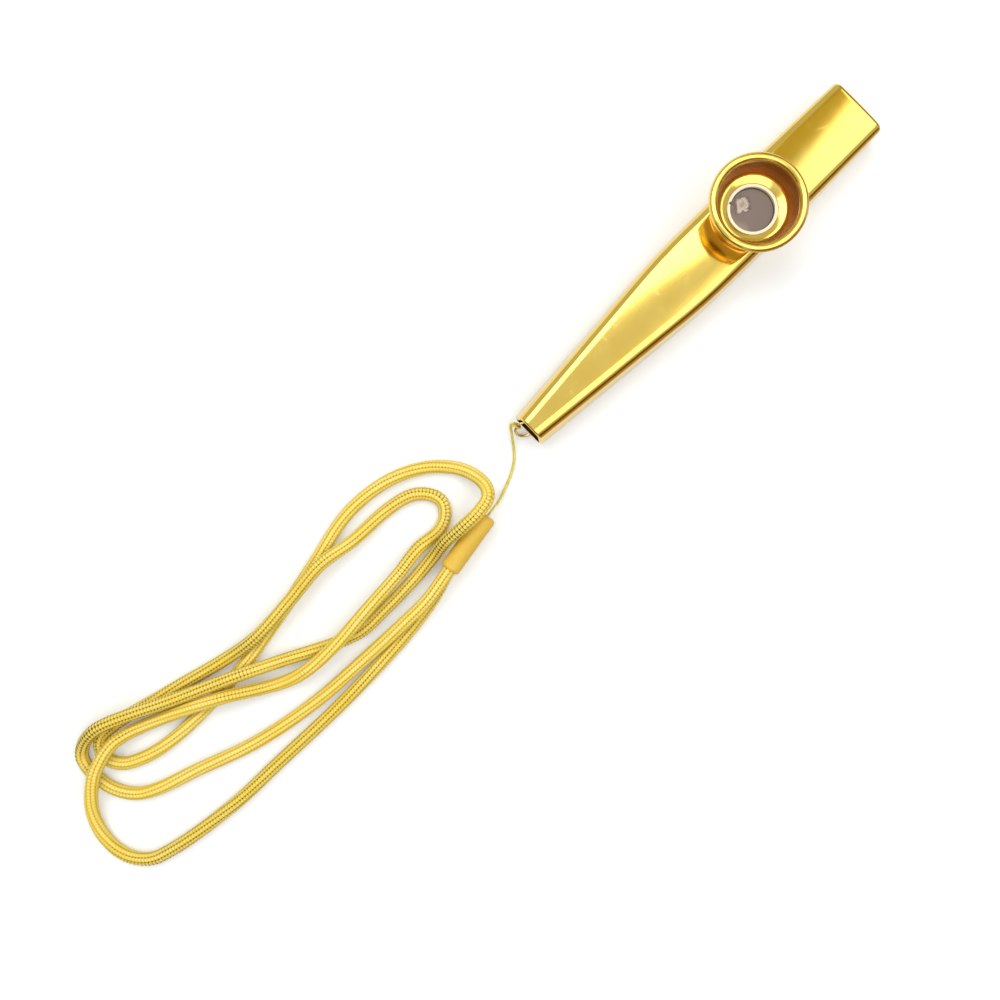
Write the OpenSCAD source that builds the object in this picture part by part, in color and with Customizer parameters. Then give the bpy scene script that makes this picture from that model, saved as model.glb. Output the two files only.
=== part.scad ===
// Metal kazoo with a screwed membrane turret, a lanyard ring and a neck cord.
// Millimetres. The origin is on the surface that the kazoo rests on, under the
// turret's axis. +X runs from the narrow end to the wide mouth, +Z is up.

/* [Body tube] */
// Length from the narrow end to the wide mouth
body_l = 121; // [110:1:130]
// Distance from the turret's axis to the wide mouth
mouth_x = 41; // [34:1:46]
// Thickness of the sheet
wall = 0.8; // [0.6:0.05:1]
// Width at the narrow end
narrow_w = 10; // [8.5:0.5:11]
// Width under the turret
wide_w = 19.8; // [18:0.1:21]
// Width at the wide mouth
mouth_w = 18.2; // [16.5:0.1:18.5]
// Height of the section at the narrow end
narrow_h = 8.4; // [7.6:0.2:9]
// Height of the section under the turret
wide_h = 12.6; // [11.8:0.2:13.4]
// Height of the section at the wide mouth
mouth_h = 11; // [10.4:0.2:11.6]
// Height of the narrow end's underside above the surface
narrow_lift = 2.7; // [2.6:0.1:3.2]
// Length of the taper from the narrow end
taper_l = 56; // [48:1:60]
// Place past the turret's axis where the top starts to fall to the mouth
fall_x = 13; // [12:0.5:16]
// Width of the flat top at the narrow end
narrow_flat = 1.9; // [1.4:0.1:2.4]
// Width of the flat top under the turret
wide_flat = 13; // [12.8:0.1:13.2]
// Width of the flat top at the wide mouth
mouth_flat = 12.6; // [11.6:0.1:12.6]
// Inward lean of each side wall at the narrow end
narrow_lean = 1.2; // [1:0.1:1.4]
// Inward lean of each side wall under the turret
wide_lean = 0.9; // [0.6:0.1:1]
// Inward lean of each side wall at the wide mouth
mouth_lean = 0.8; // [0.6:0.1:0.9]
// Height of the rounded shoulder at the narrow end
narrow_drop = 2.6; // [2.2:0.1:3]
// Height of the rounded shoulder under the turret
wide_drop = 2.4; // [2:0.1:2.8]
// Height of the rounded shoulder at the wide mouth
mouth_drop = 1.8; // [1.6:0.1:2.2]
// Radius of the lower corners
corner_r = 1.6; // [1.5:0.05:2]
// Outer radius of the mouth's rolled lip
lip_r = 1.2; // [1:0.05:1.3]
// Edge radius at the narrow end
edge_r = 0.6; // [0.4:0.05:0.7]
// Set-back of the narrow end's upper edge
end_lean = 0.6; // [0.3:0.1:1]
// Length over which that set-back fades out
lean_l = 8; // [6:1:10]

/* [Turret collar] */
// Margin between the spigot and the edge of the body's flat top
spigot_margin = 0.3; // [0.2:0.05:0.4]
// Wall of the spigot that passes through the sheet
spigot_wall = 0.85; // [0.75:0.05:0.95]
// Clearance between the spigot and its hole
spigot_fit = 0.05; // [0.04:0.01:0.08]
// Height of the lip staked over under the sheet
stake_h = 0.6; // [0.5:0.05:0.8]
// Reach of the threaded rim past the spigot
thread_reach = 2; // [1.9:0.05:2.2]
// Height of the threaded rim above the body
thread_h = 2.3; // [2.2:0.05:2.5]
// Height of the membrane's seat above the body
seat_h = 1.4; // [1.3:0.05:1.5]
// Wall of that rim round the membrane's recess
rim_wall = 0.5; // [0.45:0.05:0.6]

/* [Membrane] */
// Clearance round the film and its ring
film_fit = 0.1; // [0.08:0.01:0.14]
// Thickness of the film, thicker than the real one
film_t = 0.1; // [0.08:0.01:0.12]
// Margin between the collar's bore and the inside of the ring that clamps the film
clamp_margin = 0.05; // [0:0.05:0.2]
// Height of that ring
clamp_h = 1.3; // [1.2:0.05:1.4]

/* [Turret cap] */
// Running clearance over the thread
thread_fit = 0.05; // [0.04:0.01:0.08]
// Wall of the cap's skirt
skirt_wall = 1.15; // [1.05:0.05:1.3]
// Gap between the cap's skirt and the body
skirt_gap = 0.3; // [0.3:0.05:0.5]
// Width of the clamp ring that shows in the eye of the cap's floor
eye_margin = 1.1; // [1:0.05:1.15]
// Thickness of that floor at the eye, to which the floor slopes down
eye_t = 0.2; // [0.15:0.05:0.3]
// Thickness of the cap's floor
floor_t = 0.8; // [0.7:0.05:0.9]
// Thickness of the cup's wall
cup_wall = 0.8; // [0.7:0.05:0.9]
// Radius of the wire-like roll at the rim
roll_r = 1.1; // [0.9:0.05:1.2]
// Outer radius of the rim
rim_r = 12.53; // [12.2:0.05:13]
// Height of the rim above the surface
turret_h = 23; // [22:0.25:24.5]

/* [Lanyard ring] */
// Distance from the narrow end to the ring's hole
hole_inset = 2.4; // [2.3:0.05:2.6]
// Radius of the ring's hole in the body's underside
ring_hole_r = 1; // [1:0.05:1.2]
// Radius of the ring's wire
wire_r = 0.4; // [0.35:0.05:0.45]
// Mean radius of the ring
ring_r = 2.6; // [2.5:0.05:2.8]
// Height of the ring's middle above the surface
ring_z = 3; // [2.9:0.05:3.1]
// Turn of the ring away from straight ahead
ring_yaw = 25; // [20:1:30]
// Tilt of the ring from upright
ring_tilt = 40; // [32:1:42]
// Angle of the split in the ring
split_angle = 2.5; // [1:0.5:4]
// Angle round the ring from its far point to the string's wrap
wrap_turn = 50; // [40:1:55]

/* [Lanyard] */
// Diameter of the knitted neck cord
cord_d = 3.6; // [3:0.1:3.6]
// Diameter of one strand of the string
string_d = 0.7; // [0.5:0.05:0.7]
// Distance between the string's two strands
strand_pitch = 0.74; // [0.74:0.02:0.8]
// Clearance between the string and the ring's wire
string_gap = 0.05; // [0.05:0.01:0.1]
// Length of the sleeve
sleeve_l = 17.3; // [15:0.1:18]
// Width of the sleeve
sleeve_w = 5.4; // [5:0.1:5.6]
// Height of the sleeve
sleeve_h = 8.5; // [8.4:0.1:9]
// Clearance round a cord end in the sleeve
cord_fit = 0.02; // [0.02:0.01:0.05]
// Clearance round the two strands in the sleeve
string_fit = 0.05; // [0.04:0.01:0.1]
// Depth of the string's hole in the sleeve
string_depth = 3; // [2.5:0.1:4]

/* [Hidden] */
$fn = 96;
// One overrun serves every cut
over = 1;
// Share of the taper over which it blends into the parallel part, each way
blend_share = 0.15;
// Places of the sections along the taper, as shares of its length
taper_shares = [0.05, 0.143, 0.3, 0.5, 0.7, 0.85, 0.9, 0.95, 1, 1.05, 1.1, 1.15];
narrow_x = body_l - mouth_x;
top_z = wide_h;
seat_z = top_z + seat_h;
thread_z = top_z + thread_h;
under_z = top_z - wall;
stake_r = wide_flat / 2;
spigot_r = stake_r - spigot_margin;
hole_r = spigot_r + spigot_fit;
bore_r = spigot_r - spigot_wall;
thread_r = spigot_r + thread_reach;
recess_r = thread_r - rim_wall;
film_r = recess_r - film_fit;
clamp_r = bore_r + clamp_margin;
eye_r = clamp_r + eye_margin;
skirt_in_r = thread_r + thread_fit;
skirt_r = skirt_in_r + skirt_wall;
cup_r = skirt_r - cup_wall;
film_z = seat_z + film_t;
floor_z = film_z + clamp_h;
cup_z = floor_z + floor_t;
roll_z = turret_h - roll_r;
lip_in_r = lip_r - wall;
// Ring: outward direction, the direction square to its plane, the third, and middle
ring_out = [-cos(ring_yaw), sin(ring_yaw), 0];
ring_up = [
    -sin(ring_yaw) * cos(ring_tilt), -cos(ring_yaw) * cos(ring_tilt), sin(ring_tilt)
];
hole_at = [hole_inset - narrow_x, 0, ring_z];
ring_side = cross(ring_out, ring_up);
ring_at = hole_at + ring_r * ring_out;
// Place on the ring's wire that the string wraps, and the way out from it
wrap_out = cos(wrap_turn) * ring_out + sin(wrap_turn) * ring_side;
wrap_at = ring_at + ring_r * wrap_out;
wrap_r = wire_r + string_gap + string_d / 2;
// Neck cord, from its lower end in the sleeve round all its loops to the upper end
cord_route = [
    [-114.8, -10.5, 2.3], [-120.5, -11.5, 2.3], [-129.6, -14.2, 1.8], [-144.5, -16.2, 1.8],
    [-164.5, -17, 1.8], [-188.5, -16.5, 1.8], [-207, -16, 1.8], [-229.5, -12.1, 1.8],
    [-235.2, -7.1, 1.8], [-236.8, 1, 1.8], [-233.7, 8.6, 3.6], [-227.6, 14.1, 5.7],
    [-222.5, 16.7, 5.8], [-215.9, 18, 4.4], [-207.2, 15.4, 2.2], [-188.2, 7, 5.8],
    [-174.3, -1.6, 2.2], [-166.4, -4.1, 4.6], [-156, -4.7, 5.8], [-144.1, -3.9, 5.8],
    [-130.6, -2.9, 5.3], [-122.6, -1.7, 3.2], [-115.6, -2.2, 1.8], [-111.5, -0.5, 1.8],
    [-109.4, 3, 1.8], [-110.7, 6.8, 1.8], [-114.5, 9.9, 1.8], [-122, 11.5, 1.8],
    [-133.5, 11.9, 3.2], [-144, 13.3, 5.5], [-156, 12.2, 5.7], [-169.5, 11.5, 5.4],
    [-180.4, 13.3, 2.8], [-199, 18.1, 1.8], [-217.5, 21.9, 1.8], [-221.5, 18.7, 1.8],
    [-220.9, 14.6, 1.8], [-217.5, 11.2, 1.8], [-208.7, 8.3, 1.8], [-196.6, 7.5, 1.8],
    [-179.6, 8.5, 1.8], [-162.1, 11.4, 1.8], [-145, 15, 1.8], [-130, 18.2, 1.8],
    [-117.5, 17.3, 1.8], [-107.4, 13.2, 1.8], [-100.6, 6.8, 2], [-98, 0.1, 5.2],
    [-99.3, -4.7, 8.8], [-104, -6.1, 10.6], [-110, -6, 10.4], [-116, -5.6, 7.8],
    [-122, -6.2, 3.6], [-128, -6.7, 1.8], [-140, -7, 1.8], [-150.8, -6.4, 1.8], [-170.8, 3, 3],
    [-179.8, 7.5, 5.6], [-195.9, 14.7, 5.6], [-211.5, 22, 5.7], [-218.5, 23.9, 5],
    [-225.3, 22.2, 2.2], [-227, 17.5, 1.8], [-225.7, 9.1, 1.8], [-220.4, 2.7, 1.8],
    [-205.9, -2.8, 1.8], [-189.5, -8.5, 1.8], [-171, -11.8, 1.8], [-152.5, -12.8, 2.4],
    [-140, -13.2, 4.8], [-130, -13.2, 6.1], [-120.5, -11.5, 6.2], [-114.8, -10.5, 6.2]
];
// Middle line of the string's two strands, from the sleeve to the ring
string_route = [
    [-106.4, -9, 4.2], [-103.4, -8.5, 4.2], [-100.5, -8.1, 3.4], [-98.1, -7.7, 2.2],
    [-93.7, -6.1, 0.85], [-90.5, -4.6, 0.74], [-87.8, -2.8, 0.74], [-86.1, -1, 0.9],
    [-85.06, 0.34, 1.5], [-84.08, 1.74, 2.4], [-83.12, 3.12, 3.6], [-82.5, 4, 4.6],
    [-81.9, 4.3, 5.2], [-81.4, 3.95, 5.35]
];
cord_sides = 8;
// Angles round the ring's wire between which the string wraps it
wrap_from = 60;
wrap_to = 300;
wrap_step = 40;
sleeve_foot = [cord_route[1].x, cord_route[1].y, 0];
sleeve_run = string_route[1] - cord_route[1];
sleeve_yaw = atan2(sleeve_run.y, sleeve_run.x);
cord_depth = norm(cord_route[1] - cord_route[0]);
cord_low_z = cord_route[0].z;
cord_high_z = cord_route[len(cord_route) - 1].z;
string_z = string_route[0].z;

// Shapes shared by the sub-parts

function unit(v) = v / norm(v);

// Direction of a route at point i, the mean of what comes in and goes out
function heading(route, i) =
    unit(route[min(i + 1, len(route) - 1)] - route[max(i - 1, 0)]);

// Level direction square to a heading
function sideways(v) = unit(cross(v, [0, 0, 1]));

// Ring of points round point i of a route
function tube_ring(route, i, r) =
    let (t = heading(route, i), s = sideways(t), u = cross(s, t))
    [for (k = [0 : cord_sides - 1])
        route[i] + r * (cos(k * 360 / cord_sides) * s + sin(k * 360 / cord_sides) * u)];

// Triangles between neighbouring rings of n points, of which there are m
function skin(m, n, closed) =
    [for (i = [0 : m - (closed ? 1 : 2)]) for (j = [0 : n - 1])
        let (a = i * n, b = ((i + 1) % m) * n, k = (j + 1) % n)
        each [[a + j, b + k, a + k], [a + j, b + j, b + k]]];

// Tube with flat ends along a route
module tube(route, r) {
    m = len(route);
    n = cord_sides;
    polyhedron(
        points = [for (i = [0 : m - 1]) each tube_ring(route, i, r)],
        faces = concat(
            skin(m, n, false),
            [[for (j = [0 : n - 1]) j], [for (j = [n - 1 : -1 : 0]) (m - 1) * n + j]]
        )
    );
}

// Body tube

// Place along the taper as a share of its length
function taper_share(x) = (x + narrow_x) / taper_l;

// Share of the full section that is reached there, with a soft end to the taper
function grown(u) =
    u < 1 - blend_share ? u :
    u > 1 + blend_share ? 1 :
    u - pow(u - 1 + blend_share, 2) / (4 * blend_share);

// Size at x from its values at the narrow end, under the turret and at the mouth
function size_at(x, narrow, wide, mouth) =
    x <= 0 ? narrow + (wide - narrow) * grown(taper_share(x))
           : wide + (mouth - wide) * x / mouth_x;

function bottom_at(x) = narrow_lift * (1 - grown(taper_share(x)));

function top_at(x) =
    x <= fall_x ? size_at(min(x, 0), narrow_lift + narrow_h, wide_h, wide_h)
                : wide_h + (mouth_h - wide_h) * (x - fall_x) / (mouth_x - fall_x);

// Half of the section at x, drawn in by d, from the underside to the flat top
function half_section(x, d) =
    let (
        w = size_at(x, narrow_w, wide_w, mouth_w) / 2,
        lean = size_at(x, narrow_lean, wide_lean, mouth_lean),
        drop = size_at(x, narrow_drop, wide_drop, mouth_drop),
        round_w = w - lean - size_at(x, narrow_flat, wide_flat, mouth_flat) / 2,
        low = bottom_at(x) + corner_r,
        high = top_at(x) - drop
    )
    concat(
        [for (a = [-90 : 22.5 : 0])
            [w - corner_r + (corner_r - d) * cos(a), low + (corner_r - d) * sin(a)]],
        [for (a = [0 : 15 : 90])
            [w - lean - round_w + (round_w - d) * cos(a), high + (drop - d) * sin(a)]]
    );

// Whole section as points in space, with the narrow end's upper edge set back
function section(x, d) =
    let (
        half = half_section(x, d),
        n = len(half),
        fade = max(0, 1 - (x + narrow_x) / lean_l),
        flat = concat(half, [for (i = [n - 1 : -1 : 0]) [-half[i].x, half[i].y]])
    )
    [for (p = flat)
        [x + end_lean * fade * (p.y - bottom_at(x)) / (top_at(x) - bottom_at(x)), p.x, p.y]];

// Places and depths of the sections: out along the outside, back along the inside
body_stations = [for (s = taper_shares) s * taper_l - narrow_x];
body_path = concat(
    [for (a = [0 : 22.5 : 90])
        [edge_r * (1 - cos(a)) - narrow_x, edge_r * (1 - sin(a))]],
    [for (x = body_stations) [x, 0]],
    [[0, 0], [fall_x, 0]],
    [for (a = [0 : 15 : 90])
        [mouth_x - lip_r + lip_r * sin(a), lip_r * (1 - cos(a))]],
    [for (a = [90 : -30 : 0])
        [mouth_x - lip_r + lip_in_r * sin(a), lip_r - lip_in_r * cos(a)]],
    [[fall_x, wall], [0, wall]],
    [for (i = [len(body_stations) - 1 : -1 : 0]) [body_stations[i], wall]],
    [[-narrow_x, wall]]
);

// One-piece pressed tube, with the turret's hole above and the ring's hole below
module body_tube() {
    m = len(body_path);
    n = len(section(0, 0));
    color("goldenrod")
    difference() {
        polyhedron(
            points = [for (p = body_path) each section(p[0], p[1])],
            faces = skin(m, n, true)
        );
        translate([0, 0, under_z - over])
            cylinder(r = hole_r, h = wall + 2 * over);
        translate([hole_at.x, hole_at.y, -over])
            cylinder(r = ring_hole_r, h = narrow_lift + wall + 2 * over);
    }
}

// Turret collar: spigot through the sheet, staked below, threaded rim above
module turret_collar() {
    color("goldenrod")
    rotate_extrude()
        polygon([
            [bore_r, under_z - stake_h],
            [stake_r, under_z - stake_h],
            [stake_r, under_z],
            [spigot_r, under_z],
            [spigot_r, top_z],
            [thread_r, top_z],
            [thread_r, thread_z],
            [recess_r, thread_z],
            [recess_r, seat_z],
            [bore_r, seat_z]
        ]);
}

// Membrane film: the buzzing disc that lies on the collar's seat
module membrane_film() {
    color("rosybrown", 0.8)
    translate([0, 0, seat_z])
        cylinder(r = film_r, h = film_t);
}

// Membrane ring: plastic ring that clamps the film under the cap's floor
module membrane_ring() {
    color("cornsilk")
    translate([0, 0, film_z])
        difference() {
            cylinder(r = film_r, h = clamp_h);
            translate([0, 0, -over])
                cylinder(r = clamp_r, h = clamp_h + 2 * over);
        }
}

// Turret cap: threaded skirt, floor that slopes to an eye, flared cup with a rolled rim
module turret_cap() {
    mouth_r = rim_r - 2 * roll_r;
    color("gold")
    union() {
        rotate_extrude()
            polygon([
                [skirt_in_r, top_z + skirt_gap],
                [skirt_r, top_z + skirt_gap],
                [skirt_r, cup_z],
                [mouth_r + cup_wall, roll_z],
                [mouth_r, roll_z],
                [cup_r, cup_z],
                [eye_r, floor_z + eye_t],
                [eye_r, floor_z],
                [skirt_in_r, floor_z]
            ]);
        rotate_extrude()
            translate([rim_r - roll_r, roll_z])
                circle(r = roll_r, $fn = 48);
    }
}

// Jump ring: split wire ring through the hole in the narrow end's underside
module jump_ring() {
    color("goldenrod")
    translate(ring_at)
        rotate([0, 0, -ring_yaw])
            rotate([90 - ring_tilt, 0, 0])
                rotate([0, 0, 90 + split_angle / 2])
                    rotate_extrude(angle = 360 - split_angle)
                        translate([ring_r, 0])
                            circle(r = wire_r, $fn = 32);
}

// Way from the string's middle line to its upper strand at point i, square to the line
function strand_way(i) =
    let (
        share = i / (len(string_route) - 1),
        t = heading(string_route, i),
        lay = (1 - share) * [0, 0, 1] + share * ring_up
    )
    unit(lay - (lay * t) * t);

// Lanyard string: one loop, one strand above the other, wrapped round the ring's wire
module lanyard_string() {
    last = len(string_route) - 1;
    strand = [for (i = [0 : last]) strand_way(i) * strand_pitch / 2];
    out_strand = [for (i = [0 : last]) string_route[i] + strand[i]];
    wrap = [for (a = [wrap_from : wrap_step : wrap_to])
        wrap_at + wrap_r * (cos(a) * wrap_out + sin(a) * ring_up)];
    back_strand = [for (i = [last : -1 : 0]) string_route[i] - strand[i]];
    color("khaki")
    tube(concat(out_strand, wrap, back_strand), string_d / 2);
}

// Lanyard sleeve: moulded sleeve that holds both cord ends and the string
module lanyard_sleeve() {
    round_r = sleeve_w / 2;
    color("orange")
    translate(sleeve_foot)
        rotate([0, 0, sleeve_yaw])
            difference() {
                rotate([90, 0, 90])
                    linear_extrude(height = sleeve_l)
                        union() {
                            translate([0, round_r])
                                circle(r = round_r);
                            translate([-round_r, round_r])
                                square([sleeve_w, sleeve_h - sleeve_w]);
                            translate([0, sleeve_h - round_r])
                                circle(r = round_r);
                        }
                for (z = [cord_low_z, cord_high_z])
                    translate([-over, 0, z])
                        rotate([0, 90, 0])
                            cylinder(r = cord_d / 2 + cord_fit, h = cord_depth + over);
                translate([sleeve_l - string_depth, 0, string_z])
                    rotate([0, 90, 0])
                        cylinder(
                            r = (strand_pitch + string_d) / 2 + string_fit,
                            h = string_depth + over
                        );
            }
}

// Neck cord: knitted cord lying in loose loops, both ends in the sleeve
module neck_cord() {
    color("yellow")
    tube(cord_route, cord_d / 2);
}

body_tube();
turret_collar();
membrane_film();
membrane_ring();
turret_cap();
jump_ring();
lanyard_string();
lanyard_sleeve();
neck_cord();
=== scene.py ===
from functools import partial
from math import cos, pi, radians, sin, sqrt, tan

import bmesh
import bpy
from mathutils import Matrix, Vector


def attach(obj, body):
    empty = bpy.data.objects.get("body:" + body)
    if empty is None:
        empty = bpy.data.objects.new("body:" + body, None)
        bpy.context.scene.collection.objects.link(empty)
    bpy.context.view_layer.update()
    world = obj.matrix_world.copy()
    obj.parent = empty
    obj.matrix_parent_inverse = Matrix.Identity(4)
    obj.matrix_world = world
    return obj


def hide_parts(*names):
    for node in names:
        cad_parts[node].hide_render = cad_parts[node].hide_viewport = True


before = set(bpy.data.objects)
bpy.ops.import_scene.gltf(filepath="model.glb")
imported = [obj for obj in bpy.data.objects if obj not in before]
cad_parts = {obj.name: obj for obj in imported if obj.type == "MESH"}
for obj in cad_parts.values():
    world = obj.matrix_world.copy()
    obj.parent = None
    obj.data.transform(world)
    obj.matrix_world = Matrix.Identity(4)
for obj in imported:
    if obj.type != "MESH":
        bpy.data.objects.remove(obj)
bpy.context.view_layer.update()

# Camera
# It hangs straight above the neck cord, turned so that the kazoo points to the
# upper right of the picture.
MM = 0.001
CAMERA_AT = (-98.02 * MM, -7.8 * MM, 290 * MM)
CAMERA_TURN = radians(-44.47)


def placed(name, data):
    """An object of the scene with its data."""
    thing = bpy.data.objects.new(name, data)
    bpy.context.scene.collection.objects.link(thing)
    return thing


camera_data = bpy.data.cameras.new("camera")
camera_data.sensor_width = 36
camera_data.lens = 38.74
camera_data.clip_start = 10 * MM
camera = placed("camera", camera_data)
camera.location = CAMERA_AT
camera.rotation_euler = (0, 0, CAMERA_TURN)
bpy.context.scene.camera = camera

# Neck cord
# A warp-knitted tubular cord of shiny yellow polyester, 3.6 mm thick. Eight
# columns of flat stitches run along it round a filler yarn, and a row of small
# dark holes shows between two columns. It lies in loose loops.
CORD_D = 3.6 * MM
CORD_ROUTE = (
    (-114.8, -10.5, 2.3), (-120.5, -11.5, 2.3), (-129.6, -14.2, 1.8), (-144.5, -16.2, 1.8),
    (-164.5, -17, 1.8), (-188.5, -16.5, 1.8), (-207, -16, 1.8), (-229.5, -12.1, 1.8),
    (-235.2, -7.1, 1.8), (-236.8, 1, 1.8), (-233.7, 8.6, 3.6), (-227.6, 14.1, 5.7),
    (-222.5, 16.7, 5.8), (-215.9, 18, 4.4), (-207.2, 15.4, 2.2), (-188.2, 7, 5.8),
    (-174.3, -1.6, 2.2), (-166.4, -4.1, 4.6), (-156, -4.7, 5.8), (-144.1, -3.9, 5.8),
    (-130.6, -2.9, 5.3), (-122.6, -1.7, 3.2), (-115.6, -2.2, 1.8), (-111.5, -0.5, 1.8),
    (-109.4, 3, 1.8), (-110.7, 6.8, 1.8), (-114.5, 9.9, 1.8), (-122, 11.5, 1.8),
    (-133.5, 11.9, 3.2), (-144, 13.3, 5.5), (-156, 12.2, 5.7), (-169.5, 11.5, 5.4),
    (-180.4, 13.3, 2.8), (-199, 18.1, 1.8), (-217.5, 21.9, 1.8), (-221.5, 18.7, 1.8),
    (-220.9, 14.6, 1.8), (-217.5, 11.2, 1.8), (-208.7, 8.3, 1.8), (-196.6, 7.5, 1.8),
    (-179.6, 8.5, 1.8), (-162.1, 11.4, 1.8), (-145, 15, 1.8), (-130, 18.2, 1.8),
    (-117.5, 17.3, 1.8), (-107.4, 13.2, 1.8), (-100.6, 6.8, 2), (-98, 0.1, 5.2),
    (-99.3, -4.7, 8.8), (-104, -6.1, 10.6), (-110, -6, 10.4), (-116, -5.6, 7.8),
    (-122, -6.2, 3.6), (-128, -6.7, 1.8), (-140, -7, 1.8), (-150.8, -6.4, 1.8), (-170.8, 3, 3),
    (-179.8, 7.5, 5.6), (-195.9, 14.7, 5.6), (-211.5, 22, 5.7), (-218.5, 23.9, 5),
    (-225.3, 22.2, 2.2), (-227, 17.5, 1.8), (-225.7, 9.1, 1.8), (-220.4, 2.7, 1.8),
    (-205.9, -2.8, 1.8), (-189.5, -8.5, 1.8), (-171, -11.8, 1.8), (-152.5, -12.8, 2.4),
    (-140, -13.2, 4.8), (-130, -13.2, 6.1), (-120.5, -11.5, 6.2), (-114.8, -10.5, 6.2),
)
CORD_SMOOTH_STEPS = 12
COURSE_PITCH = 0.89 * MM
WALES = 8
CORE_R = 1.1 * MM
STITCH_HALF = 0.455 * MM
STITCH_T = 0.3 * MM
TIP_AT = 1.52 * MM
ROOT_AT = 1.66 * MM
TIP_ALONG = 0.08 * COURSE_PITCH
ROOT_ALONG = -0.1 * COURSE_PITCH
STITCH_LEAN = radians(4)
# The cord turns by up to half of this, in radians, one way and the other as it lies.
LIE_TURN = 3.0


def route_points(route, lowest, steps):
    """Points on a smooth curve through a route in mm, in metres, kept off the table."""
    spots = [Vector(p) * MM for p in route]
    last = len(spots) - 1
    headings = [
        (spots[min(i + 1, last)] - spots[max(i - 1, 0)]).normalized() for i in range(last + 1)
    ]
    points = []
    for i in range(last):
        reach = (spots[i + 1] - spots[i]).length
        for k in range(steps):
            t = k / steps
            points.append(
                (2 * t**3 - 3 * t**2 + 1) * spots[i]
                + (t**3 - 2 * t**2 + t) * reach * headings[i]
                + (3 * t**2 - 2 * t**3) * spots[i + 1]
                + (t**3 - t**2) * reach * headings[i + 1]
            )
    points.append(spots[last])
    for p in points:
        p.z = max(p.z, lowest)
    return points


def linear(hex_code):
    """A colour for a shader from its sRGB hex code."""
    channels = [int(hex_code[i:i + 2], 16) / 255 for i in (1, 3, 5)]
    return [c / 12.92 if c <= 0.04045 else ((c + 0.055) / 1.055) ** 2.4 for c in channels] + [1.0]


def add_node(tree, kind, inputs=None, stops=(), **settings):
    """A node with its settings made, a colour ramp's stops set, and each input set to a
    value, or linked to an output or to the first output of a node."""
    node = tree.nodes.new(kind)
    for name, value in settings.items():
        setattr(node, name, value)
    if stops:
        colours = node.color_ramp.elements
        colours[0].position, colours[1].position = stops[0][0], stops[-1][0]
        for place, _ in stops[1:-1]:
            colours.new(place)
        for stop, (_, hex_code) in zip(colours, stops):
            stop.color = linear(hex_code)
    for key, value in (inputs or {}).items():
        if isinstance(value, bpy.types.Node):
            value = next(output for output in value.outputs if output.enabled)
        if isinstance(value, bpy.types.NodeSocket):
            tree.links.new(value, node.inputs[key])
        else:
            node.inputs[key].default_value = value
    return node


def made_of(name, look, *details):
    """A material whose surface has the values that look gives, which puts their nodes."""
    material = bpy.data.materials.new(name)
    material.use_nodes = True
    material.node_tree.nodes.clear()
    put = partial(add_node, material.node_tree)
    surface = put("ShaderNodeBsdfPrincipled", look(put, *details))
    put("ShaderNodeOutputMaterial", {"Surface": surface})
    return material


def new_tree(name, lengths):
    """A Geometry Nodes tree that takes a geometry and named sizes, what puts a node in
    it, and what it is given."""
    tree = bpy.data.node_groups.new(name, "GeometryNodeTree")
    tree.interface.new_socket("Geometry", in_out="INPUT", socket_type="NodeSocketGeometry")
    for size_name in lengths:
        tree.interface.new_socket(size_name, in_out="INPUT", socket_type="NodeSocketFloat")
    tree.interface.new_socket("Geometry", in_out="OUTPUT", socket_type="NodeSocketGeometry")
    put = partial(add_node, tree)
    return tree, put, put("NodeGroupInput").outputs


def route_curve(name, points):
    """A curve object of one open spline through points."""
    curve = bpy.data.curves.new(name, "CURVE")
    curve.dimensions = "3D"
    spline = curve.splines.new("POLY")
    spline.points.add(len(points) - 1)
    for spot, p in zip(spline.points, points):
        spot.co = (*p, 1)
    return placed(name, curve)


def plain_mesh(source, name):
    """The evaluated object as a plain mesh object. The source object is removed."""
    graph = bpy.context.evaluated_depsgraph_get()
    mesh = bpy.data.meshes.new_from_object(source.evaluated_get(graph), depsgraph=graph)
    bpy.data.objects.remove(source)
    mesh.name = name
    return placed(name, mesh)


def grown(source, name, tree, lengths):
    """The mesh that a Geometry Nodes tree makes of an object, as a plain mesh object."""
    modifier = source.modifiers.new(tree.name, "NODES")
    modifier.node_group = tree
    for item in tree.interface.items_tree:
        if item.in_out == "INPUT" and item.name in lengths:
            modifier[item.identifier] = lengths[item.name]
    return plain_mesh(source, name)


def knitted_polyester(put):
    """Bright filament polyester yarn: soft sheen, with painted shade where a stitch is covered and
    orange painted shade at its tips.
    """
    coords = put("ShaderNodeTexCoord").outputs["Object"]
    drift = put("ShaderNodeTexNoise", {"Vector": coords, "Scale": 90.0, "Detail": 2.0})
    # Painted shade: a stitch gets darker towards the edge that goes under the next stitch.
    tucked = put("ShaderNodeMix", {
        "Factor": put("ShaderNodeAttribute", attribute_name="under").outputs["Fac"],
        "A": put("ShaderNodeValToRGB", {"Fac": drift}, ((0.3, "#FFEC68"), (0.7, "#FFFA96"))),
        "B": linear("#E6CC42"),
    }, data_type="RGBA")
    # Its tips lie deep between its neighbours, and painted shade turns them orange there.
    dyed = put("ShaderNodeMix", {
        "Factor": put("ShaderNodeAttribute", attribute_name="tip").outputs["Fac"],
        "A": tucked, "B": linear("#E2A22A"),
    }, data_type="RGBA")
    # The yarn's filaments are 0.03 mm thick. They are drawn at 0.1 mm, to show.
    filaments = put("ShaderNodeTexNoise", {"Vector": coords, "Scale": 9000.0, "Detail": 1.0})
    relief = put("ShaderNodeBump", {"Height": filaments, "Strength": 0.25, "Distance": 0.05 * MM})
    return {
        "Base Color": dyed, "Normal": relief, "Roughness": 0.42, "Sheen Weight": 0.12,
        "Sheen Roughness": 0.4, "Sheen Tint": linear("#FFF7B0"),
    }


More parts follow.
